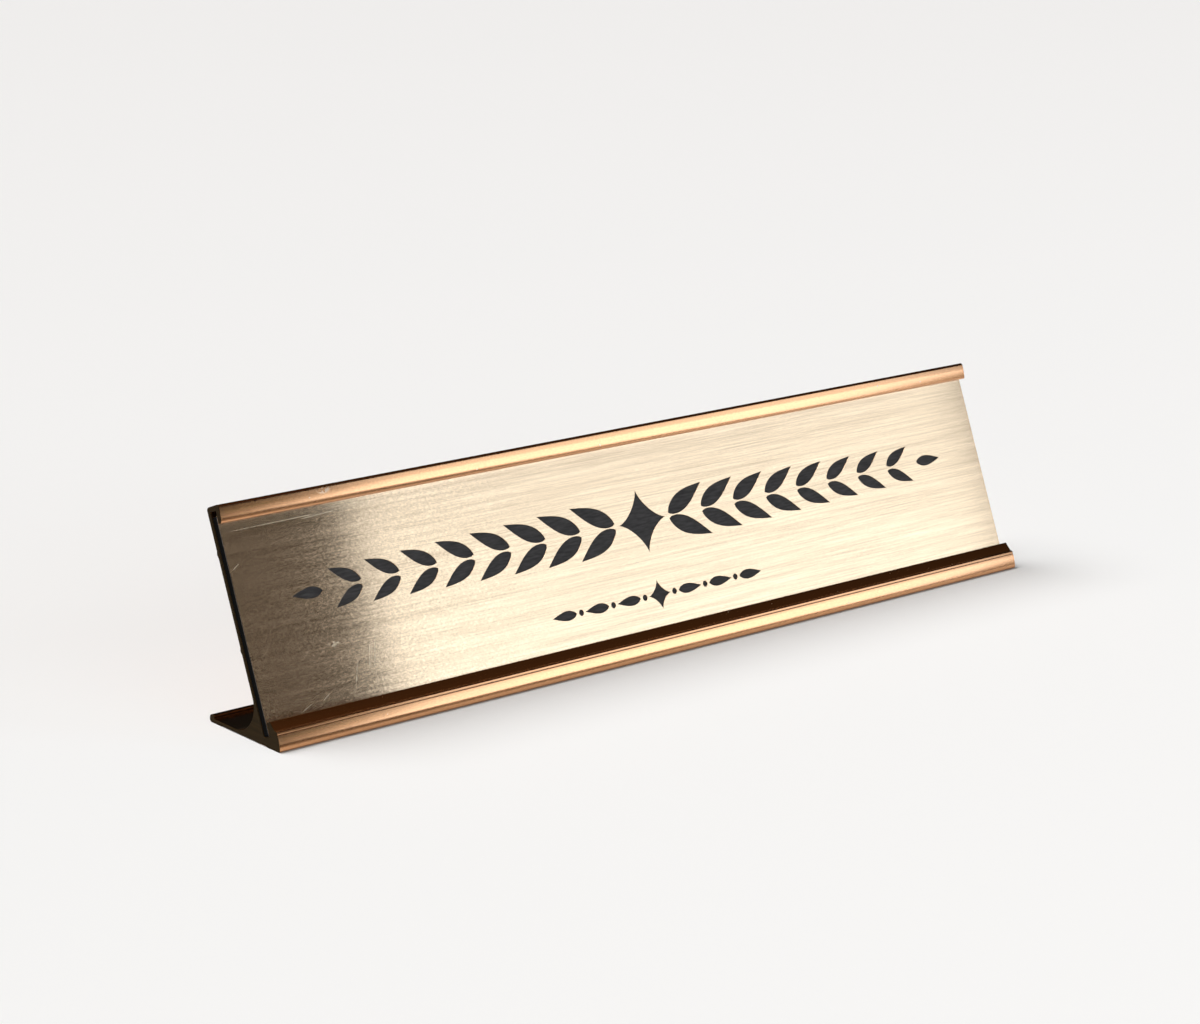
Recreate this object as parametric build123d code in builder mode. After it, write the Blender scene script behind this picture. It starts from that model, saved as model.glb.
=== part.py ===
from build123d import *

import math
import os

# Desk name plate: an extruded aluminium holder with a two-ply plate pushed into its slot from the end.
# X runs along the plate, the front faces -Y and the desk is at Z = 0, under the middle of the holder.

# Holder, cut from one extrusion
holder_length = 254.0
lean = 25.0  # degrees that the slot and the plate lean back

# Slot for the plate, measured along and across the leaning plate
slot_height = 52.0
slot_gap = 2.0
slot_corner_radius = 0.4
slot_head_radius = 0.15
slot_setback = 4.75  # from the front of the base to the middle of the slot's floor
slot_floor = 2.4  # height of that point over the desk

# Back wall, which is a little thicker under the hook than at the foot
wall_at_foot = 0.9
wall_at_hook = 1.15
rib_low = 20.1  # ribs on the rear of the wall, measured up the slot
rib_high = 42.4
rib_width = 1.6
rib_height = 0.3
rib_radius = 1.0

# Hook over the top of the plate and its front lip
hook_thickness = 1.25
hook_rear_radius = 0.8
hook_front_radius = 0.7
upper_lip = 1.42
upper_lip_toe = 0.95  # thickness at the lower edge
upper_lip_drop = 3.05  # from the head of the slot to the lower edge
upper_lip_flat = 2.25  # from the top of the hook to where the front turns in
upper_lip_roll_radius = 8.0
upper_lip_toe_radius = 0.45

# Lower lip and the ledge in front of it
lower_lip = 1.3
lower_lip_height = 3.2  # above the slot's floor
lip_edge_radius = 0.2
ledge_hollow = 0.1
ledge_radius = 12.0
ledge_root_radius = 0.15

# Front bead, with a fine groove under its top edge
bead_toe_radius = 0.5
bead_toe_tilt = 9.0  # degrees that the front leans back below the break
bead_break = 2.3  # height where it starts to lean back further
bead_tilt = 28.0  # degrees that it leans back above that
bead_roll_radius = 9.3
bead_face = 2.5  # from the break to the top edge
bead_top_radius = 0.35
groove_start = 1.68  # from the break
groove_width = 0.3
groove_depth = 0.12
groove_radius = 0.08
shelf_width = 0.7
shelf_rise = 0.15

# Foot behind the wall, with a round bead along its rear edge
foot_depth = 25.5  # from the front of the base
foot_thickness = 0.95
foot_fillet_radius = 6.35
tip_width = 1.7
tip_height = 1.9
tip_radius = 0.8
tip_inner_radius = 0.55
tip_root_radius = 0.3

# Shallow relief under the base, between the front pad and the rear pad
relief_depth = 0.2
relief_slope = 0.6
relief_radius = 0.3
front_pad = 4.4
rear_pad = 4.2

# Plate, set in the slot with these clearances
face_thickness = 0.2
face_edge = 0.08  # broken edge round the front of the face
plate_front_gap = 0.15
plate_rear_gap = 0.25
plate_floor_gap = 0.2
plate_head_gap = 1.3
plate_short = 1.0  # how much shorter than the holder

# The two rounded corners of one side take at most this share of it
corner_room_share = 0.96

plate_length = holder_length - plate_short
plate_height = slot_height - plate_floor_gap - plate_head_gap
core_thickness = slot_gap - plate_front_gap - plate_rear_gap - face_thickness
half_gap = slot_gap / 2
hook_top = slot_height + hook_thickness
bead_break_depth = bead_break * math.tan(math.radians(bead_toe_tilt))


def leaning(up, forward):
    """Depth and height of a point given up the slot from its floor and forward of its middle."""
    angle = math.radians(lean)
    depth = slot_setback + up * math.sin(angle) - forward * math.cos(angle)
    height = slot_floor + up * math.cos(angle) + forward * math.sin(angle)
    return (depth, height)


def wall_rear(up):
    """How far behind the middle of the slot the rear of the tapered wall lies."""
    return half_gap + wall_at_foot + (wall_at_hook - wall_at_foot) * up / hook_top


def on_bead(along, inward):
    """Point on the leaning front of the bead, given from the break and into the metal."""
    angle = math.radians(bead_tilt)
    depth = bead_break_depth + along * math.sin(angle) + inward * math.cos(angle)
    height = bead_break + along * math.cos(angle) - inward * math.sin(angle)
    return (depth, height)


def rib(up):
    """Corners of one rib on the rear of the wall, from above to below."""
    above = up + rib_width / 2
    below = up - rib_width / 2
    return [
        (leaning(above, -wall_rear(above)), rib_radius),
        (leaning(up, -wall_rear(up) - rib_height), rib_radius),
        (leaning(below, -wall_rear(below)), rib_radius),
    ]


def foot_corner():
    """Where the rear of the wall would meet the top of the foot."""
    low_depth, low_height = leaning(0, -wall_rear(0))
    top_depth, top_height = leaning(hook_top, -wall_rear(hook_top))
    run = (top_depth - low_depth) / (top_height - low_height)
    return (low_depth + (foot_thickness - low_height) * run, foot_thickness)


def fitted_radii(points, radii):
    """Corner radii, made smaller where two neighbours would not fit on the side between them."""
    corners = [Vector(*point) for point in points]
    afters = corners[1:] + corners[:1]
    befores = corners[-1:] + corners[:-1]
    tangents = []
    for before, corner, after, radius in zip(befores, corners, afters, radii):
        turn = 180 - (before - corner).get_angle(after - corner)
        tangents.append(radius * math.tan(math.radians(turn / 2)))
    fits = []
    for corner, after, tangent, after_tangent in zip(corners, afters, tangents, tangents[1:] + tangents[:1]):
        fits.append(min(1, corner_room_share * (after - corner).length / (tangent + after_tangent)))
    fits_before = fits[-1:] + fits[:-1]
    return [radius * min(fit, before) for radius, fit, before in zip(radii, fits, fits_before)]


shelf_front = on_bead(bead_face, 0)
ledge_low = (shelf_front[0] + shelf_width, shelf_front[1] + shelf_rise)
ledge_high = leaning(lower_lip_height, half_gap + lower_lip)
ledge_length = math.dist(ledge_low, ledge_high)
ledge_middle = (
    (ledge_low[0] + ledge_high[0]) / 2 + ledge_hollow * (ledge_high[1] - ledge_low[1]) / ledge_length,
    (ledge_low[1] + ledge_high[1]) / 2 - ledge_hollow * (ledge_high[0] - ledge_low[0]) / ledge_length,
)

# Corners of the extruded profile, each with its radius, up the front, over the hook and down the back
front_corners = [
    ((0, 0), bead_toe_radius),
    ((bead_break_depth, bead_break), bead_roll_radius),
    (on_bead(groove_start, 0), groove_radius),
    (on_bead(groove_start + groove_width / 2, groove_depth), groove_radius),
    (on_bead(groove_start + groove_width, 0), groove_radius),
    (shelf_front, bead_top_radius),
    (ledge_low, ledge_root_radius),
    (ledge_middle, ledge_radius),
    (ledge_high, lip_edge_radius),
]
slot_corners = [
    (leaning(lower_lip_height, half_gap), lip_edge_radius),
    (leaning(0, half_gap), slot_corner_radius),
    (leaning(0, -half_gap), slot_corner_radius),
    (leaning(slot_height, -half_gap), slot_head_radius),
    (leaning(slot_height, half_gap), slot_head_radius),
    (leaning(slot_height - upper_lip_drop, half_gap), lip_edge_radius),
]
hook_corners = [
    (leaning(slot_height - upper_lip_drop, half_gap + upper_lip_toe), upper_lip_toe_radius),
    (leaning(hook_top - upper_lip_flat, half_gap + upper_lip), upper_lip_roll_radius),
    (leaning(hook_top, half_gap + upper_lip), hook_front_radius),
    (leaning(hook_top, -wall_rear(hook_top)), hook_rear_radius),
]
foot_corners = [
    (foot_corner(), foot_fillet_radius),
    ((foot_depth - tip_width, foot_thickness), tip_root_radius),
    ((foot_depth - tip_width, tip_height), tip_inner_radius),
    ((foot_depth, tip_height), tip_radius),
    ((foot_depth, 0), tip_radius),
]
relief_corners = [
    ((foot_depth - rear_pad, 0), relief_radius),
    ((foot_depth - rear_pad - relief_slope, relief_depth), relief_radius),
    ((front_pad + relief_slope, relief_depth), relief_radius),
    ((front_pad, 0), relief_radius),
]
profile = (
    front_corners + slot_corners + hook_corners + rib(rib_high) + rib(rib_low) + foot_corners + relief_corners
)
profile_points = [point for point, radius in profile]
profile_radii = fitted_radii(profile_points, [radius for point, radius in profile])

with BuildSketch() as section:
    with BuildLine():
        FilletPolyline(*profile_points, radius=profile_radii, close=True)
    make_face()

# The base's front edge and the hook's rear corner are equally far from the middle
middle = section.sketch.bounding_box().center().X
section_plane = Plane(origin=(-holder_length / 2, -middle, 0), x_dir=(0, 1, 0), z_dir=(1, 0, 0))

# The plate lies in the slot with its left end flush with the holder's left end
core_depth, core_height = leaning(plate_floor_gap, plate_rear_gap - half_gap)
plate_plane = Plane(
    origin=(-plate_short / 2, core_depth - middle, core_height),
    x_dir=(1, 0, 0),
    z_dir=(0, -math.cos(math.radians(lean)), math.sin(math.radians(lean))),
)

with BuildPart() as holder:
    with BuildSketch(section_plane):
        add(section.sketch)
    extrude(amount=holder_length)

with BuildPart() as plate_core:
    with BuildSketch(plate_plane):
        Rectangle(plate_length, plate_height, align=(Align.CENTER, Align.MIN))
    extrude(amount=core_thickness)

with BuildPart() as plate_face:
    with BuildSketch(plate_plane.offset(core_thickness)):
        Rectangle(plate_length, plate_height, align=(Align.CENTER, Align.MIN))
    extrude(amount=face_thickness)
    front = plate_face.faces().sort_by(Axis(plate_plane.origin, plate_plane.z_dir))[-1]
    chamfer(front.edges(), length=face_edge)

os.makedirs("parts", exist_ok=True)
holder.part.label = "holder"
plate_core.part.label = "plate_core"
plate_face.part.label = "plate_face"
export_step(holder.part, "parts/holder.step")
export_step(plate_core.part, "parts/plate_core.step")
export_step(plate_face.part, "parts/plate_face.step")
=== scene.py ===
import math

import bmesh
import bpy
from mathutils import Matrix, Quaternion, Vector


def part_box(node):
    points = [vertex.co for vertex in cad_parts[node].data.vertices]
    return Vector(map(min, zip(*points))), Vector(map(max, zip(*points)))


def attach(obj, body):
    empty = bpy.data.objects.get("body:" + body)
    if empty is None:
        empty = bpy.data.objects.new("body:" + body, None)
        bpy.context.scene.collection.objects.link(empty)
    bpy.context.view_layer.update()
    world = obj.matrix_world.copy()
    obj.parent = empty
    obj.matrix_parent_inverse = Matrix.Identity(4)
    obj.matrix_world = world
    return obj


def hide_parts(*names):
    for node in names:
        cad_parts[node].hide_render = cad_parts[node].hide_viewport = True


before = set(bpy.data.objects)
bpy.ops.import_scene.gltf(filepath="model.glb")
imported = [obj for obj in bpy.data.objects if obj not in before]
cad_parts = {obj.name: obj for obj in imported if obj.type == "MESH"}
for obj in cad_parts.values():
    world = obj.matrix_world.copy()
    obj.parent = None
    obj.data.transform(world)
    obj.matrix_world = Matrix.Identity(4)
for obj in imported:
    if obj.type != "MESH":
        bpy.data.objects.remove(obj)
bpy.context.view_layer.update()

# Desk name plate: the finish of the holder and its plate, and the lamps, floor and camera that show them
MM = 0.001

# Camera at the photograph's viewing angle, in degrees and millimetres
CAMERA_YAW = 44.662
CAMERA_PITCH = 16.346
CAMERA_ROLL = 3.634
CAMERA_PLACE = (-618.3, -608.15, 285.9)
CAMERA_LENS = 109.86
SENSOR_WIDTH = 36.0

# Soft boxes: a low one at the front right with a dimmer one over it, which the metal mirrors in the main
# view, and a large one from the front to the left, which it mirrors in other views
BOX_TARGET = Vector((0, 0, 0.025))
BOX_DISTANCE = 2.0
BOX_COLOR = (0.71, 0.85, 1.0)
BOX_TILT = math.radians(-17)
LOW_DIRECTION = Vector((0.688, -0.705, 0.172))
LOW_SIZE = (0.51, 0.52)
LOW_POWER = 3.3
HIGH_DIRECTION = Vector((0.690, -0.630, 0.356))
HIGH_SIZE = (0.499, 0.27)
HIGH_POWER = 1.09
FRONT_DIRECTION = Vector((-0.17, -0.875, 0.455))
FRONT_SIZE = (2.8, 1.07)
FRONT_POWER = 8.5
FRONT_COLOR = (0.93, 1.0, 0.98)
FRONT_TILT = 0.0

# Soft light from above
TOP_DIRECTION = Vector((-0.35, 0.5, 1))
TOP_STRENGTH = 3.1
TOP_ANGLE = math.radians(40)

# World, with the heights on the unit sphere over which one of its colours turns into the next
HORIZON_LIGHT = (0.10, 0.075, 0.05, 1)
MIDDLE_LIGHT = (0.02, 0.016, 0.012, 1)
ZENITH_LIGHT = (0.075, 0.046, 0.024, 1)
HORIZON_TO_MIDDLE = (0.0, 0.2)
MIDDLE_TO_ZENITH = (0.45, 0.8)

# Floor
FLOOR_RADIUS = 8.0
FLOOR_SIDES = 96
FLOOR_COLOR = (0.93, 0.93, 0.93, 1)

# Holder, with its sawn ends broken all round
RIM_BREAK = 0.07 * MM
SMOOTH_UNDER = math.radians(32)
ON_END = 0.001 * MM  # a corner this near to the end's plane lies on it
PLACE_DIGITS = 8  # decimals of a metre to which corners of the end are told apart
ANODISED_INDEX = 0
SAWN_INDEX = 1

# Plate: how it lies in the holder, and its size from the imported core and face
LEAN = math.radians(25)
PLATE_RIGHT = Vector((1, 0, 0))
PLATE_UP = Vector((0, math.sin(LEAN), math.cos(LEAN)))
PLATE_OUT = Vector((0, -math.cos(LEAN), math.sin(LEAN)))
core_low, core_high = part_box("plate_core")
core_size = core_high - core_low
face_low, face_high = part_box("plate_face")
PLATE_CORNER = Vector((face_low.x, core_low.y, face_low.z))  # lower left corner of the face's rear
PLATE_LENGTH = face_high.x - face_low.x
PLATE_HEIGHT = (core_size.z * math.cos(LEAN) - core_size.y * math.sin(LEAN)) / math.cos(2 * LEAN)
FACE_THICKNESS = 0.2 * MM
FACE_BREAK = 0.04 * MM
BRUSH_MAP = "brush"

# Engraved ornament of laurel branches over a short row of leaves, with heights from the plate's lower edge
# and reaches from its middle
ORNAMENT_STEPS = 24
DOT_RADIUS = 0.75 * MM
LEAF_WIDTH_SHARE = 0.15
LEAF_SKEW = 0.72
STAR_SIZE = 7.8 * MM
STAR_POWER = 0.72
BRANCH_HEIGHT = 29.4 * MM
BRANCH_START = STAR_SIZE + 2 * DOT_RADIUS
BRANCH_REACH = 111 * MM
BRANCH_PAIRS = 8
BRANCH_LEAF = 14.5 * MM
BRANCH_ANGLE = math.radians(24)
BRANCH_GAP = 0.7 * MM
BRANCH_TIP_SHARE = 0.62
ROW_HEIGHT = 10.8 * MM
ROW_REACH = 36 * MM
ROW_STAR = 3.6 * MM
ROW_LEAVES = 3
ROW_DOT_ROOM = 4 * DOT_RADIUS  # for one dot and the gaps beside it

# Scratches on the plate, from and to, in millimetres right of and above its lower left corner
SCRATCHES = [
    ((0.5, 46.6), (29.8, 46.9)),
    ((22.0, 46.3), (33.6, 46.8)),
    ((0.7, 37.8), (3.2, 39.3)),
    ((34.1, 15.5), (32.2, 8.9)),
    ((36.4, 17.4), (33.7, 9.0)),
    ((29.6, 12.3), (26.8, 4.9)),
    ((9.9, 3.1), (14.5, 5.0)),
    ((17.1, 4.7), (19.6, 6.2)),
]
SCRATCH_HALF_WIDTH = 0.09
SCRATCH_FULL_SHARE = 0.5  # share of its half length and half width over which a scratch doesn't fade
HAIRLINE_ANGLES = (math.radians(62), math.radians(-38))

# Scuffed patches in the same measure, as middle and half size: one on the plate and one on the upper lip
PLATE_SCUFF = ((23.9, 16.7), (2.2, 1.0))
LIP_SCUFF = ((30.1, 51.9), (2.2, 1.1))
SCUFF_FADE = (1.0, 0.3)  # shares of the half size at which a scuff starts and is full

# Other places in the same measure, as pairs of where an effect starts and where it is full
DUST_UP = (46.3, 46.9)  # under the upper lip
DUST_RIGHT = (48.0, 18.0)
GRAIN_RIGHT = (95.0, 12.0)
# painted shade: the plate's ends are darkened near black
PLATE_END_SHADE = (0.05, 0.02)  # in from either end of the plate
# painted shade: the foot and fillet behind the wall are darkened
FOOT_SHADE_FORWARD = (-3.2, -5.0)  # behind the wall

# Inside of the slot in the same measure, from and to, and the width over which its mask fades
SLOT_UP = (-0.3, 51.9)
SLOT_FORWARD = (-1.75, 0.36)
SLOT_FADE = 0.05

# Cosines to the plate's front at which a surface starts to count as facing it, and counts fully
FACING_FRONT = (0.7, 0.95)

# Noises: the size of their lumps in metres along X, Y and Z, and their detail
DIE_LINES = ((0.08, 0.0006, 0.0006), 2)
POWDER = ((0.0006, 0.0004, 0.0004), 3)
CLOUDS = ((0.03, 0.015, 0.015), 2)
SPECKS = ((0.0009, 0.0009, 0.0009), 0)
SCUFF_RAGS = ((0.0012, 0.0008, 0.0008), 4)
SAW_MARKS = ((0.001, 0.012, 0.0004), 2)
SAW_GRAIN = ((0.0004, 0.0004, 0.0004), 2)
CUTTER_MARKS = ((0.003, 0.0005, 0.0005), 3)
CUTTER_GRAIN = ((0.0005, 0.0005, 0.0005), 2)
FINE_BRUSHING = ((0.02, 0.0003, 0.0003), 3)
BROAD_BRUSHING = ((0.06, 0.0014, 0.0014), 2)
BRASS_GRAIN = ((0.0007, 0.00045, 0.00045), 1)
SPARKS = ((0.0009, 0.0006, 0.0006), 0)
SCRATCH_BREAKS = ((0.002, 0.001, 0.001), 2)

# Noises in the plate's own millimetres
HAIRLINES = ((9.0, 0.2, 1.0), 0)
HAIRLINE_PATCHES = ((14.0, 14.0, 1.0), 1)

# Mean value of a noise, and values at which its effect starts and is full
NOISE_MEAN = 0.5
NOISE_LEVELS = (0.3, 0.7)
GRAIN_LEVELS = (0.35, 0.65)
SPECK_LEVELS = (0.84, 0.88)
SCUFF_LEVELS = (0.48, 0.56)
SPARK_LEVELS = (0.60, 0.70)
SCRATCH_LEVELS = (0.36, 0.58)
HAIRLINE_LEVELS = (0.75, 0.80)
HAIRLINE_PATCH_LEVELS = (0.56, 0.66)

# Anodised finish: colours, shares of its noises, and what each adds to the roughness
ANODISED_DARK = (0.55, 0.248, 0.094, 1)
ANODISED_LIGHT = (0.62, 0.284, 0.11, 1)
ANODISED_WORN = (0.86, 0.62, 0.44, 1)
# painted shade inside the slot
ANODISED_SLOT_SHADE = (0.38, 0.19, 0.085, 1)
# painted shade on the foot and fillet behind the wall
ANODISED_FOOT_SHADE = (0.14, 0.065, 0.022, 1)
ANODISED_TONES = (0.38, 0.62)
DIE_SHARE = 0.3
POWDER_SHARE = 0.7
POWDER_DEPTH = 0.0006 * MM
DIE_ROUGHNESS = (0.12, 0.135)
CLOUD_ROUGHNESS = (0.0, 0.02)
WORN_ROUGHNESS = 0.3
RUBBED_ROUGHNESS = 0.2

# Sawn ends and broken rims: colours, darkened with painted shade, and shares of their noises
SAWN_SHADED_DARK = (0.024, 0.0135, 0.003, 1)
SAWN_SHADED_LIGHT = (0.042, 0.024, 0.006, 1)
SAW_MARK_SHARE = 0.6
SAW_GRAIN_SHARE = 0.4
SAWN_DEPTH = 0.02 * MM

# Core: colours of its sides, near black with painted shade, and of its engraved front, and shares of its
# noises
CORE_SIDE_SHADE = (0.003, 0.003, 0.003, 1)
CORE_DARK = (0.055, 0.053, 0.055, 1)
CORE_LIGHT = (0.095, 0.092, 0.095, 1)
CUTTER_MARK_SHARE = 0.5
CUTTER_GRAIN_SHARE = 0.5
CORE_DEPTH = 0.01 * MM

# Brass: colours, shares of its noises and wear in the colour, and what they add to its roughness and height
BRASS_DARK = (0.50, 0.345, 0.21, 1)
BRASS_LIGHT = (0.82, 0.58, 0.37, 1)
BRASS_DUSTY = (0.90, 0.72, 0.50, 1)
BRASS_SCARRED = (0.95, 0.78, 0.55, 1)
# painted shade at the plate's ends
BRASS_END_SHADE = (0.012, 0.010, 0.008, 1)
BRASS_TONES = (-0.14, 0.14)
FINE_SHARE = 0.6
BROAD_SHARE = 0.4
STREAK_SHARE = 0.65
GRAIN_SHARES = (0.12, 0.6)  # at the right and at the left
SPARK_SHARES = (0.0, 0.22)
SCRATCH_SHARES = (0.4, 1.0)  # where a scratch is faintest and where it is full
HAIRLINE_SHARE = 0.28
DUST_SHARE = 0.3
SCAR_SHARE = 0.85
STREAK_ROUGHNESS = (0.11, 0.13)
GRAIN_ROUGHNESS = (0.0, 0.02)
SCAR_ROUGHNESS = 0.25
STREAK_HEIGHT_SHARE = 0.7
GRAIN_HEIGHT_SHARE = 0.05
BRASS_DEPTH = 0.006 * MM

# Sockets of a Mix node that mixes colours
MIX_SHARE = 0
MIX_FIRST = 6
MIX_SECOND = 7
MIX_RESULT = 2


def add_node(tree, kind, inputs=None, **settings):
    """Adds a shader node; an input is a plain value or the output socket that feeds it."""
    made = tree.nodes.new(kind)
    for name, value in settings.items():
        setattr(made, name, value)
    for name, value in (inputs or {}).items():
        if isinstance(value, bpy.types.NodeSocket):
            tree.links.new(value, made.inputs[name])
        else:
            made.inputs[name].default_value = value
    return made


def calc(tree, operation, first, second=0.0):
    """Result of a Math node."""
    return add_node(tree, "ShaderNodeMath", {0: first, 1: second}, operation=operation).outputs[0]


def plus(tree, first, second):
    """Sum of two values."""
    return calc(tree, "ADD", first, second)


def times(tree, first, second):
    """Product of two values."""
    return calc(tree, "MULTIPLY", first, second)


def larger(tree, first, second):
    """The larger of two values."""
    return calc(tree, "MAXIMUM", first, second)


def weighted(tree, first, first_share, second, second_share):
    """Sum of two values, each times its share."""
    return plus(tree, times(tree, first, first_share), times(tree, second, second_share))


def spread(tree, value, low, high, to_low=0.0, to_high=1.0):
    """The value's range from low to high taken to another range, and clamped to it."""
    ends = {"Value": value, "From Min": low, "From Max": high, "To Min": to_low, "To Max": to_high}
    return add_node(tree, "ShaderNodeMapRange", ends).outputs["Result"]


def vector_calc(tree, operation, first, second, result):
    """One result of a Vector Math node."""
    return add_node(tree, "ShaderNodeVectorMath", {0: first, 1: second}, operation=operation).outputs[result]


def parts_of(tree, vector):
    """The X, Y and Z of a vector."""
    return add_node(tree, "ShaderNodeSeparateXYZ", {"Vector": vector}).outputs


def mapped(tree, vector, **changes):
    """A vector with a Mapping node's changes of scale, place or rotation."""
    return add_node(tree, "ShaderNodeMapping", {"Vector": vector, **changes}).outputs["Vector"]


def noise(tree, place, size, detail):
    """Noise whose lumps have the given size along X, Y and Z, in the units of the place."""
    moved = mapped(tree, place, Scale=tuple(1 / s for s in size))
    inputs = {"Vector": moved, "Scale": 1.0, "Detail": detail}
    return add_node(tree, "ShaderNodeTexNoise", inputs).outputs[0]


def mix_color(tree, share, first, second):
    """Colour between two colours or sockets."""
    inputs = {MIX_SHARE: share, MIX_FIRST: first, MIX_SECOND: second}
    return add_node(tree, "ShaderNodeMix", inputs, data_type="RGBA").outputs[MIX_RESULT]


def bumped(tree, height, depth):
    """Normal of a surface whose height varies over a depth in metres."""
    inputs = {"Height": height, "Strength": 1.0, "Distance": depth}
    return add_node(tree, "ShaderNodeBump", inputs).outputs["Normal"]


def new_material(name):
    """A new material, its node tree, its Principled shader and the place on the object in metres."""
    material = bpy.data.materials.new(name)
    material.use_nodes = True
    tree = material.node_tree
    tree.nodes.clear()
    shader = add_node(tree, "ShaderNodeBsdfPrincipled")
    output = add_node(tree, "ShaderNodeOutputMaterial")
    tree.links.new(shader.outputs["BSDF"], output.inputs["Surface"])
    place = add_node(tree, "ShaderNodeTexCoord").outputs["Object"]
    return material, tree, shader, place


def feed(tree, shader, **sockets):
    """Links sockets to the shader's inputs, with _ for a space in an input's name."""
    for name, socket in sockets.items():
        tree.links.new(socket, shader.inputs[name.replace("_", " ")])


def fixed(shader, **values):
    """Sets the shader's own values, with _ for a space in an input's name."""
    for name, value in values.items():
        shader.inputs[name.replace("_", " ")].default_value = value


def plate_place(tree, place):
    """Millimetres right of, above and in front of the plate's lower left corner, as a vector."""
    moved = vector_calc(tree, "SUBTRACT", place, PLATE_CORNER, "Vector")
    parts = {}
    for name, axis in (("X", PLATE_RIGHT), ("Y", PLATE_UP), ("Z", PLATE_OUT)):
        parts[name] = vector_calc(tree, "DOT_PRODUCT", moved, axis / MM, "Value")
    return add_node(tree, "ShaderNodeCombineXYZ", parts).outputs["Vector"]


def facing_front(tree):
    """Mask of what faces the way the plate does."""
    normal = add_node(tree, "ShaderNodeNewGeometry").outputs["Normal"]
    return spread(tree, vector_calc(tree, "DOT_PRODUCT", normal, PLATE_OUT, "Value"), *FACING_FRONT)


def between(tree, value, low, high):
    """Mask of the values from low to high."""
    above = spread(tree, value, low - SLOT_FADE, low)
    below = spread(tree, value, high + SLOT_FADE, high)
    return times(tree, above, below)


def slot_inside(tree, spot):
    """Mask of the slot's inside, which plates have worn dull, and where shade is painted darker into the
    colour.
    """
    parts = parts_of(tree, spot)
    return times(tree, between(tree, parts["Y"], *SLOT_UP), between(tree, parts["Z"], *SLOT_FORWARD))


def painted_foot_shade(tree, spot):
    """Mask of the foot and of the fillet behind the wall, where shade is painted darker into the colour."""
    return spread(tree, parts_of(tree, spot)["Z"], *FOOT_SHADE_FORWARD)


def specks(tree, place):
    """Mask of sparse tiny specks."""
    return spread(tree, noise(tree, place, *SPECKS), *SPECK_LEVELS)


def scuff(tree, place, spot, middle, half):
    """Mask of a ragged worn patch, given in the plate's millimetres."""
    scale = (1 / half[0], 1 / half[1], 0)
    centre = (-middle[0] / half[0], -middle[1] / half[1], 0)
    moved = mapped(tree, spot, Location=centre, Scale=scale)
    away = add_node(tree, "ShaderNodeVectorMath", {0: moved}, operation="LENGTH").outputs["Value"]
    ragged = spread(tree, noise(tree, place, *SCUFF_RAGS), *SCUFF_LEVELS)
    inside = times(tree, spread(tree, away, *SCUFF_FADE), ragged)
    return times(tree, inside, facing_front(tree))


def scratch(tree, spot, start, end):
    """Mask of one straight scratch on the plate, which fades at both ends."""
    run = Vector((*end, 0)) - Vector((*start, 0))
    middle = Vector((*start, 0)) + run / 2
    along = run.normalized()
    across = Vector((-along.y, along.x, 0))
    moved = vector_calc(tree, "SUBTRACT", spot, middle, "Vector")
    masks = []
    for direction, reach in ((along, run.length / 2), (across, SCRATCH_HALF_WIDTH)):
        away = calc(tree, "ABSOLUTE", vector_calc(tree, "DOT_PRODUCT", moved, direction, "Value"))
        masks.append(spread(tree, away, reach, reach * SCRATCH_FULL_SHARE))
    return times(tree, *masks)


def hairlines(tree, spot, angle):
    """Mask of sparse fine hairlines at an angle to the brushing."""
    turned = mapped(tree, spot, Rotation=(0, 0, angle))
    lines = spread(tree, noise(tree, turned, *HAIRLINES), *HAIRLINE_LEVELS)
    patches = spread(tree, noise(tree, turned, *HAIRLINE_PATCHES), *HAIRLINE_PATCH_LEVELS)
    return times(tree, lines, patches)


def brass_scars(tree, place, spot):
    """Mask of the plate's scuff, its broken scratches and its hairlines."""
    scars = scuff(tree, place, spot, *PLATE_SCUFF)
    broken = spread(tree, noise(tree, place, *SCRATCH_BREAKS), *SCRATCH_LEVELS, *SCRATCH_SHARES)
    for start, end in SCRATCHES:
        scars = larger(tree, times(tree, scratch(tree, spot, start, end), broken), scars)
    for angle in HAIRLINE_ANGLES:
        scars = larger(tree, times(tree, hairlines(tree, spot, angle), HAIRLINE_SHARE), scars)
    return scars


def brass_tone(tree, place, spot, streaks, grain):
    """How light the brass is, from streaks, and from grain and sparks that fade to the right."""
    share = spread(tree, parts_of(tree, spot)["X"], *GRAIN_RIGHT, *GRAIN_SHARES)
    streaked = times(tree, calc(tree, "SUBTRACT", streaks, NOISE_MEAN), STREAK_SHARE)
    speckled = times(tree, calc(tree, "SUBTRACT", grain, NOISE_MEAN), share)
    sparks = spread(tree, noise(tree, place, *SPARKS), *SPARK_LEVELS, *SPARK_SHARES)
    return plus(tree, streaked, plus(tree, speckled, times(tree, sparks, share)))


def dusty(tree, spot):
    """Mask of a band of dust under the upper lip, which fades to the right."""
    parts = parts_of(tree, spot)
    return times(tree, spread(tree, parts["Y"], *DUST_UP), spread(tree, parts["X"], *DUST_RIGHT))


def shaded_plate_ends(tree, spot):
    """Mask of the plate's outer edges at its two ends, where shade is painted near black."""
    from_left = parts_of(tree, spot)["X"]
    from_right = calc(tree, "SUBTRACT", PLATE_LENGTH / MM, from_left)
    return larger(tree, spread(tree, from_left, *PLATE_END_SHADE), spread(tree, from_right, *PLATE_END_SHADE))


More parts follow.
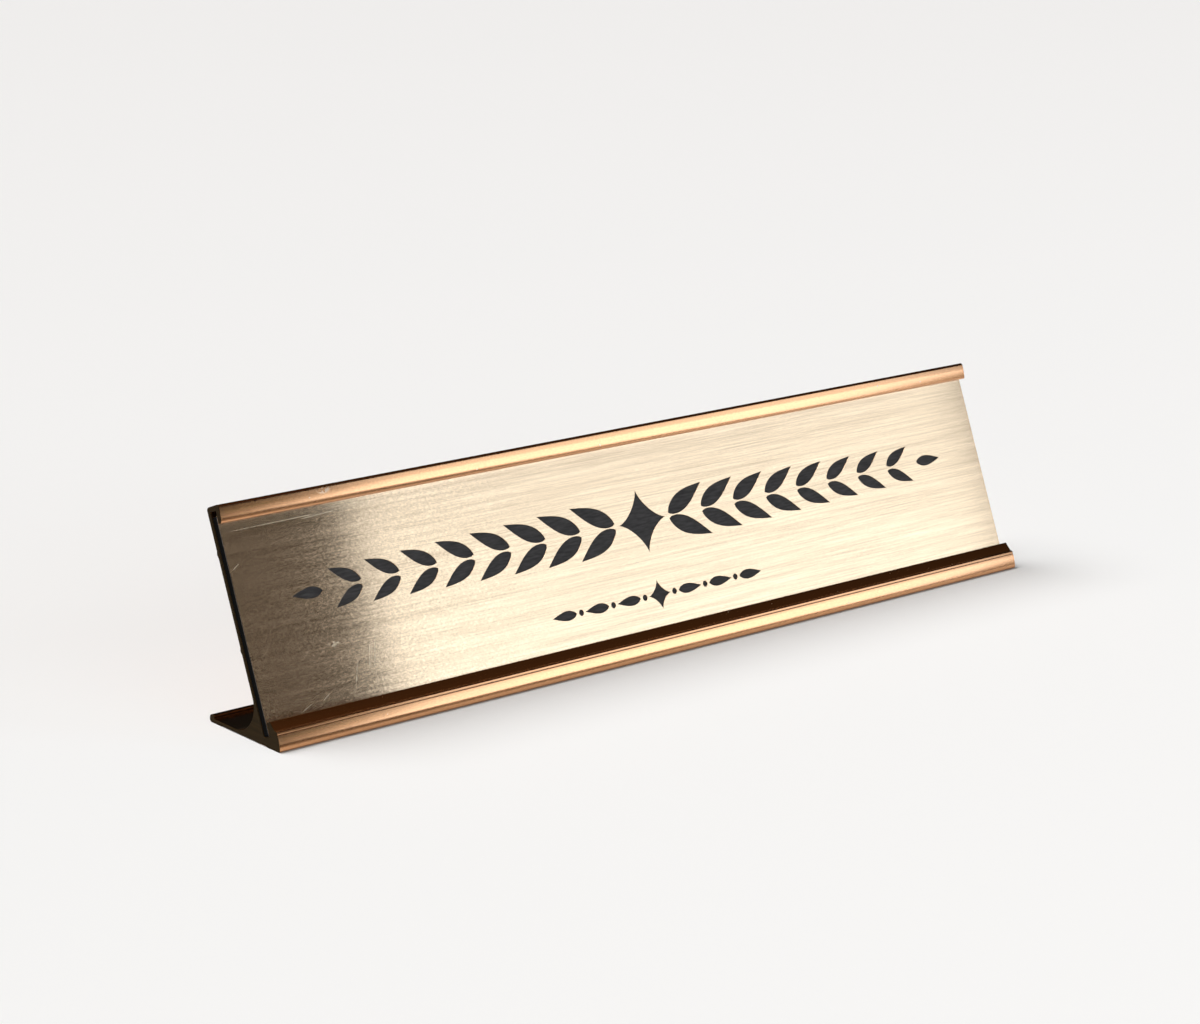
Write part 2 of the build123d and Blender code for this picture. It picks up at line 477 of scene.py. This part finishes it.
def anodised_aluminium():
    """Rose gold with faint lines from the die and a powdery grain; worn in places and worn dull inside the
    slot, with shade painted darker into the colour inside the slot and on the foot behind the wall.
    """
    material, tree, shader, place = new_material("anodised_aluminium")
    spot = plate_place(tree, place)
    lines = noise(tree, place, *DIE_LINES)
    powder = noise(tree, place, *POWDER)
    clouds = noise(tree, place, *CLOUDS)
    worn = larger(tree, scuff(tree, place, spot, *LIP_SCUFF), specks(tree, place))
    shaded_slot = slot_inside(tree, spot)
    tone = weighted(tree, lines, DIE_SHARE, powder, POWDER_SHARE)
    color = mix_color(tree, spread(tree, tone, *ANODISED_TONES), ANODISED_DARK, ANODISED_LIGHT)
    color = mix_color(tree, worn, color, ANODISED_WORN)
    # painted shade: darker on the foot and fillet behind the wall
    color = mix_color(tree, painted_foot_shade(tree, spot), color, ANODISED_FOOT_SHADE)
    # painted shade: darker inside the slot
    color = mix_color(tree, shaded_slot, color, ANODISED_SLOT_SHADE)
    lined = spread(tree, lines, *NOISE_LEVELS, *DIE_ROUGHNESS)
    clouded = spread(tree, clouds, *NOISE_LEVELS, *CLOUD_ROUGHNESS)
    damaged = weighted(tree, worn, WORN_ROUGHNESS, shaded_slot, RUBBED_ROUGHNESS)
    rough = plus(tree, plus(tree, lined, clouded), damaged)
    feed(tree, shader, Base_Color=color, Roughness=rough, Normal=bumped(tree, powder, POWDER_DEPTH))
    fixed(shader, Metallic=1.0, Coat_Weight=0.8, Coat_Roughness=0.11, Coat_IOR=1.6)
    return material


def shaded_sawn_end():
    """Matt bronze darkened with painted shade, with the fine parallel marks of the saw."""
    material, tree, shader, place = new_material("shaded_sawn_end")
    marks = noise(tree, place, *SAW_MARKS)
    grain = noise(tree, place, *SAW_GRAIN)
    color = mix_color(tree, spread(tree, marks, *NOISE_LEVELS), SAWN_SHADED_DARK, SAWN_SHADED_LIGHT)
    height = weighted(tree, marks, SAW_MARK_SHARE, grain, SAW_GRAIN_SHARE)
    feed(tree, shader, Base_Color=color, Normal=bumped(tree, height, SAWN_DEPTH))
    fixed(shader, Metallic=1.0, Roughness=0.55)
    return material


def black_core():
    """Black sheet, which the engraving cutter leaves charcoal and finely marked, with its sides painted near
    black as shade.
    """
    material, tree, shader, place = new_material("black_core")
    marks = noise(tree, place, *CUTTER_MARKS)
    grain = noise(tree, place, *CUTTER_GRAIN)
    worked = mix_color(tree, spread(tree, marks, *NOISE_LEVELS), CORE_DARK, CORE_LIGHT)
    # painted shade: the sides are near black, the front charcoal
    color = mix_color(tree, facing_front(tree), CORE_SIDE_SHADE, worked)
    height = weighted(tree, marks, CUTTER_MARK_SHARE, grain, CUTTER_GRAIN_SHARE)
    feed(tree, shader, Base_Color=color, Normal=bumped(tree, height, CORE_DEPTH))
    fixed(shader, Roughness=0.55, Specular_IOR_Level=0.02)
    return material


def brushed_brass():
    """Lacquered brass brushed along its length, with a speckled grain, dust, scars and painted shade, near
    black, at its ends.
    """
    material, tree, shader, place = new_material("brushed_brass")
    spot = plate_place(tree, place)
    fine = noise(tree, place, *FINE_BRUSHING)
    broad = noise(tree, place, *BROAD_BRUSHING)
    grain = noise(tree, place, *BRASS_GRAIN)
    streaks = weighted(tree, fine, FINE_SHARE, broad, BROAD_SHARE)
    scars = brass_scars(tree, place, spot)
    tone = brass_tone(tree, place, spot, streaks, grain)
    color = mix_color(tree, spread(tree, tone, *BRASS_TONES), BRASS_DARK, BRASS_LIGHT)
    color = mix_color(tree, times(tree, dusty(tree, spot), DUST_SHARE), color, BRASS_DUSTY)
    color = mix_color(tree, times(tree, scars, SCAR_SHARE), color, BRASS_SCARRED)
    # painted shade: the plate's ends near black
    color = mix_color(tree, shaded_plate_ends(tree, spot), color, BRASS_END_SHADE)
    streaked = spread(tree, streaks, *NOISE_LEVELS, *STREAK_ROUGHNESS)
    speckled = spread(tree, grain, *GRAIN_LEVELS, *GRAIN_ROUGHNESS)
    rough = plus(tree, plus(tree, streaked, speckled), times(tree, scars, SCAR_ROUGHNESS))
    height = weighted(tree, streaks, STREAK_HEIGHT_SHARE, grain, GRAIN_HEIGHT_SHARE)
    tangent = add_node(tree, "ShaderNodeTangent", direction_type="UV_MAP", uv_map=BRUSH_MAP)
    feed(tree, shader, Base_Color=color, Roughness=rough, Normal=bumped(tree, height, BRASS_DEPTH))
    feed(tree, shader, Tangent=tangent.outputs["Tangent"])
    fixed(shader, Metallic=0.74, Anisotropic=1.0)
    return material


def link(obj):
    """Adds an object to the scene and returns it."""
    bpy.context.scene.collection.objects.link(obj)
    return obj


def end_edges():
    """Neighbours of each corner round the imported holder's left end, as depth and height."""
    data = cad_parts["holder"].data
    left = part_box("holder")[0].x
    counts = {}
    for face in data.polygons:
        corners = [data.vertices[i].co for i in face.vertices]
        if all(abs(c.x - left) < ON_END for c in corners):
            spots = [(round(c.y, PLACE_DIGITS), round(c.z, PLACE_DIGITS)) for c in corners]
            for edge in zip(spots, spots[1:] + spots[:1]):
                key = tuple(sorted(edge))
                counts[key] = counts.get(key, 0) + 1
    neighbours = {}
    for first, second in (edge for edge, count in counts.items() if count == 1):
        neighbours.setdefault(first, []).append(second)
        neighbours.setdefault(second, []).append(first)
    return neighbours


def end_outline():
    """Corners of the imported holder's left end, in order round it, as depth and height."""
    neighbours = end_edges()
    start = min(neighbours)
    outline = [start]
    previous = None
    here = start
    while True:
        there = next(spot for spot in neighbours[here] if spot != previous)
        if there == start:
            return [Vector(spot) for spot in outline]
        outline.append(there)
        previous = here
        here = there


def inset(outline, amount):
    """The outline moved into the metal by an amount."""
    befores = outline[-1:] + outline[:-1]
    afters = outline[1:] + outline[:1]
    double_area = sum(here.x * after.y - after.x * here.y for here, after in zip(outline, afters))
    turn = math.copysign(1, double_area)
    moved = []
    for before, here, after in zip(befores, outline, afters):
        ahead = (here - before).normalized() + (after - here).normalized()
        inward = Vector((-ahead.y, ahead.x)).normalized() * turn
        moved.append(here + inward * amount)
    return moved


def make_holder():
    """The extrusion with its sawn ends broken by a file; the ends and the broken rims have a finish of their
    own, darkened with painted shade.
    """
    low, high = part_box("holder")
    outline = end_outline()
    narrow = inset(outline, RIM_BREAK)
    mesh = bmesh.new()
    stations = [
        (low.x, narrow),
        (low.x + RIM_BREAK, outline),
        (high.x - RIM_BREAK, outline),
        (high.x, narrow),
    ]
    rings = [[mesh.verts.new((x, *corner)) for corner in corners] for x, corners in stations]
    # the ends and the broken rims take the sawn finish, which is darkened with painted shade
    for ring, following, finish in zip(rings, rings[1:], (SAWN_INDEX, ANODISED_INDEX, SAWN_INDEX)):
        for i in range(len(ring)):
            j = (i + 1) % len(ring)
            face = mesh.faces.new((ring[i], ring[j], following[j], following[i]))
            face.smooth = True
            face.material_index = finish
    for ring in (rings[0], rings[-1]):
        mesh.faces.new(ring).material_index = SAWN_INDEX
    bmesh.ops.recalc_face_normals(mesh, faces=mesh.faces)
    data = bpy.data.meshes.new("extrusion")
    mesh.to_mesh(data)
    mesh.free()
    data.set_sharp_from_angle(angle=SMOOTH_UNDER)
    data.materials.append(anodised_aluminium())
    data.materials.append(shaded_sawn_end())
    piece = link(bpy.data.objects.new("extrusion", data))
    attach(piece, "holder")
    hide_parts("holder")


def star(x, y, size):
    """Outline of a four-pointed star with hollow sides."""
    points = []
    for step in range(2 * ORNAMENT_STEPS):
        angle = math.pi * step / ORNAMENT_STEPS
        right = math.copysign(abs(math.cos(angle)) ** (2 / STAR_POWER), math.cos(angle))
        up = math.copysign(abs(math.sin(angle)) ** (2 / STAR_POWER), math.sin(angle))
        points.append((x + size * right, y + size * up))
    return points


def dot(x, y, radius):
    """Outline of a round dot."""
    angles = [math.pi * step / ORNAMENT_STEPS for step in range(2 * ORNAMENT_STEPS)]
    return [(x + radius * math.cos(a), y + radius * math.sin(a)) for a in angles]


def leaf(x, y, length, angle):
    """Outline of a leaf from its stalk, pointed at both ends and thickest nearer the stalk."""
    edges = ([], [])
    for step in range(ORNAMENT_STEPS + 1):
        t = step / ORNAMENT_STEPS
        along = length * t
        across = length * LEAF_WIDTH_SHARE * math.sin(math.pi * t**LEAF_SKEW)
        for edge, side in zip(edges, (1, -1)):
            right = along * math.cos(angle) - side * across * math.sin(angle)
            up = along * math.sin(angle) + side * across * math.cos(angle)
            edge.append((x + right, y + up))
    upper, lower = edges
    return upper + lower[-2:0:-1]


def mirrored(outline):
    """The outline on the other half of the plate."""
    return [(PLATE_LENGTH - x, y) for x, y in outline]


def laurel():
    """Outlines of a star between two laurel branches, whose leaves grow smaller towards the tips."""
    middle = PLATE_LENGTH / 2
    step = (BRANCH_REACH - BRANCH_START - BRANCH_LEAF * BRANCH_TIP_SHARE) / BRANCH_PAIRS
    branch = []
    for number in range(BRANCH_PAIRS):
        x = middle + BRANCH_START + step * number
        length = BRANCH_LEAF * (1 - (1 - BRANCH_TIP_SHARE) * number / BRANCH_PAIRS)
        for side in (1, -1):
            branch.append(leaf(x, BRANCH_HEIGHT + side * BRANCH_GAP, length, side * BRANCH_ANGLE))
    tip = middle + BRANCH_START + step * BRANCH_PAIRS
    branch.append(leaf(tip, BRANCH_HEIGHT, BRANCH_LEAF * BRANCH_TIP_SHARE, 0))
    return [star(middle, BRANCH_HEIGHT, STAR_SIZE), *branch, *map(mirrored, branch)]


def leaf_row():
    """Outlines of a small star between two rows of leaves and dots."""
    middle = PLATE_LENGTH / 2
    pitch = (ROW_REACH - ROW_STAR) / ROW_LEAVES
    row = []
    for number in range(ROW_LEAVES):
        x = middle + ROW_STAR + pitch * number
        row.append(dot(x + ROW_DOT_ROOM / 2, ROW_HEIGHT, DOT_RADIUS))
        row.append(leaf(x + ROW_DOT_ROOM, ROW_HEIGHT, pitch - ROW_DOT_ROOM, 0))
    return [star(middle, ROW_HEIGHT, ROW_STAR), *row, *map(mirrored, row)]


def cut_sheet(outlines):
    """Mesh of a flat sheet with broken edges, from the outlines of its border and of its holes."""
    curve = bpy.data.curves.new("engraved_face", "CURVE")
    curve.dimensions = "2D"
    curve.fill_mode = "BOTH"
    curve.extrude = FACE_THICKNESS / 2 - FACE_BREAK
    curve.bevel_depth = FACE_BREAK
    curve.bevel_resolution = 0
    curve.offset = -FACE_BREAK
    for outline in outlines:
        spline = curve.splines.new("POLY")
        spline.points.add(len(outline) - 1)
        for point, (x, y) in zip(spline.points, outline):
            point.co = (x, y, 0, 1)
        spline.use_cyclic_u = True
    shaper = link(bpy.data.objects.new("shaper", curve))
    data = bpy.data.meshes.new_from_object(shaper.evaluated_get(bpy.context.evaluated_depsgraph_get()))
    bpy.data.objects.remove(shaper)
    return data


def make_plate_face():
    """The brass sheet, with the ornament cut through to the core."""
    border = [(0, 0), (PLATE_LENGTH, 0), (PLATE_LENGTH, PLATE_HEIGHT), (0, PLATE_HEIGHT)]
    data = cut_sheet([border, *laurel(), *leaf_row()])
    # Highlights stretch along u, which runs up the plate and so across the brushing
    brush = data.uv_layers.new(name=BRUSH_MAP)
    for loop in data.loops:
        x, y, z = data.vertices[loop.vertex_index].co
        brush.data[loop.index].uv = (y / PLATE_LENGTH, x / PLATE_LENGTH)
    turn = Matrix((PLATE_RIGHT, PLATE_UP, PLATE_OUT)).transposed().to_4x4()
    data.transform(Matrix.Translation(PLATE_CORNER + PLATE_OUT * FACE_THICKNESS / 2) @ turn)
    data.materials.clear()
    data.materials.append(brushed_brass())
    piece = link(bpy.data.objects.new("engraved_face", data))
    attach(piece, "plate")
    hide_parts("plate_face")


def dress_core():
    """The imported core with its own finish."""
    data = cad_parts["plate_core"].data
    data.materials.clear()
    data.materials.append(black_core())


def make_floor():
    """A wide, pale and matt disc."""
    bpy.ops.mesh.primitive_circle_add(vertices=FLOOR_SIDES, radius=FLOOR_RADIUS, fill_type="NGON")
    floor = bpy.context.object
    floor.name = "floor"
    material, tree, shader, place = new_material("floor")
    fixed(shader, Base_Color=FLOOR_COLOR, Roughness=0.9, Specular_IOR_Level=0.0)
    floor.data.materials.append(material)


def aim(lamp, direction, tilt=0.0):
    """Turns a lamp at the end of a direction to face back along it, and tilts it about that line."""
    lamp.rotation_mode = "QUATERNION"
    lamp.rotation_quaternion = direction.to_track_quat("Z", "Y") @ Quaternion((0, 0, 1), tilt)


def make_soft_box(name, direction, size, power, color, tilt):
    """A rectangular lamp in a direction from the object, facing it."""
    data = bpy.data.lights.new(name, "AREA")
    data.shape = "RECTANGLE"
    data.size, data.size_y = size
    data.energy = power
    data.color = color
    lamp = link(bpy.data.objects.new(name, data))
    lamp.location = BOX_TARGET + direction.normalized() * BOX_DISTANCE
    aim(lamp, direction, tilt)


def make_lights():
    """The three soft boxes and the light from above."""
    make_soft_box("low_box", LOW_DIRECTION, LOW_SIZE, LOW_POWER, BOX_COLOR, BOX_TILT)
    make_soft_box("high_box", HIGH_DIRECTION, HIGH_SIZE, HIGH_POWER, BOX_COLOR, BOX_TILT)
    make_soft_box("front_box", FRONT_DIRECTION, FRONT_SIZE, FRONT_POWER, FRONT_COLOR, FRONT_TILT)
    top = bpy.data.lights.new("top", "SUN")
    top.energy = TOP_STRENGTH
    top.angle = TOP_ANGLE
    aim(link(bpy.data.objects.new("top", top)), TOP_DIRECTION)


def make_world():
    """A dim studio, a little lighter towards the horizon and overhead."""
    world = bpy.data.worlds.new("studio")
    bpy.context.scene.world = world
    world.use_nodes = True
    tree = world.node_tree
    tree.nodes.clear()
    direction = add_node(tree, "ShaderNodeTexCoord").outputs["Generated"]
    height = parts_of(tree, direction)["Z"]
    color = mix_color(tree, spread(tree, height, *HORIZON_TO_MIDDLE), HORIZON_LIGHT, MIDDLE_LIGHT)
    color = mix_color(tree, spread(tree, height, *MIDDLE_TO_ZENITH), color, ZENITH_LIGHT)
    background = add_node(tree, "ShaderNodeBackground", {"Color": color})
    output = add_node(tree, "ShaderNodeOutputWorld")
    tree.links.new(background.outputs["Background"], output.inputs["Surface"])


def make_camera():
    """The camera, turned by its yaw and pitch and then rolled about its view."""
    yaw, pitch, roll = (math.radians(a) for a in (CAMERA_YAW, CAMERA_PITCH, CAMERA_ROLL))
    forward = Vector((math.sin(yaw) * math.cos(pitch), math.cos(yaw) * math.cos(pitch), -math.sin(pitch)))
    level = Vector((math.cos(yaw), -math.sin(yaw), 0))
    upright = level.cross(forward)
    right = level * math.cos(roll) + upright * math.sin(roll)
    up = upright * math.cos(roll) - level * math.sin(roll)
    data = bpy.data.cameras.new("camera")
    data.sensor_width = SENSOR_WIDTH
    data.lens = CAMERA_LENS
    camera = link(bpy.data.objects.new("camera", data))
    turn = Matrix((right, up, -forward)).transposed().to_4x4()
    camera.matrix_world = Matrix.Translation(Vector(CAMERA_PLACE) * MM) @ turn
    bpy.context.scene.camera = camera


make_holder()
dress_core()
make_plate_face()
make_floor()
make_lights()
make_world()
make_camera()
bpy.context.scene.view_settings.view_transform = "Standard"
